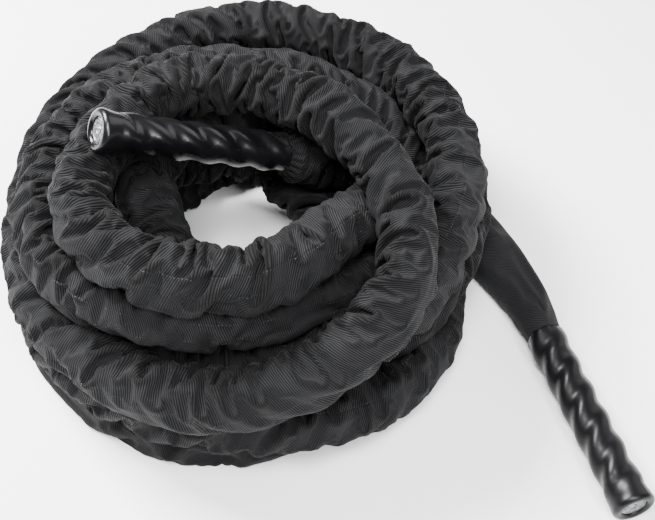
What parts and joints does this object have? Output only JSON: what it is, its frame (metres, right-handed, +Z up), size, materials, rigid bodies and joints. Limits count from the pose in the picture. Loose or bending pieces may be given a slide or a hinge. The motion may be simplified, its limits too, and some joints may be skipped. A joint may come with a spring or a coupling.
{
  "type": "battle rope",
  "caption": "Thick three-strand training rope in a ruched fabric sleeve, dropped in a loose coiled pile, with a glossy shrink tube grip at each end.",
  "frame": {"origin": "on the floor, under the middle of the whole part's bounding box", "axes": "+Z up from the floor; +X to the side where the free end runs out, along the part's longest side; the free end's grip points towards -Y and +X"},
  "size_m": [0.7082, 0.6426, 0.3039],
  "materials": {
    "sleeve_fabric": "matte ribbed charcoal polyester, gathered",
    "rope_fibre": "matte twisted polyester yarn",
    "whipping_tape": "matte cloth tape",
    "shrink_tube": "glossy black heat-shrink tube",
    "end_disc": "satin silver-grey"
  },
  "bodies": {
    "root": {"sleeve_coil": "sleeve_fabric", "sleeve_tail": "sleeve_fabric", "rope_core": "rope_fibre", "strand_a_1": "rope_fibre", "strand_a_2": "rope_fibre", "strand_a_3": "rope_fibre", "sleeve_cuff_a": "sleeve_fabric", "end_tape_a": "whipping_tape", "grip_a": "shrink_tube", "end_disc_a": "end_disc", "strand_b_1": "rope_fibre", "strand_b_2": "rope_fibre", "strand_b_3": "rope_fibre", "sleeve_cuff_b": "sleeve_fabric", "end_tape_b": "whipping_tape", "grip_b": "shrink_tube", "end_disc_b": "end_disc"}
  },
  "joints": []
}
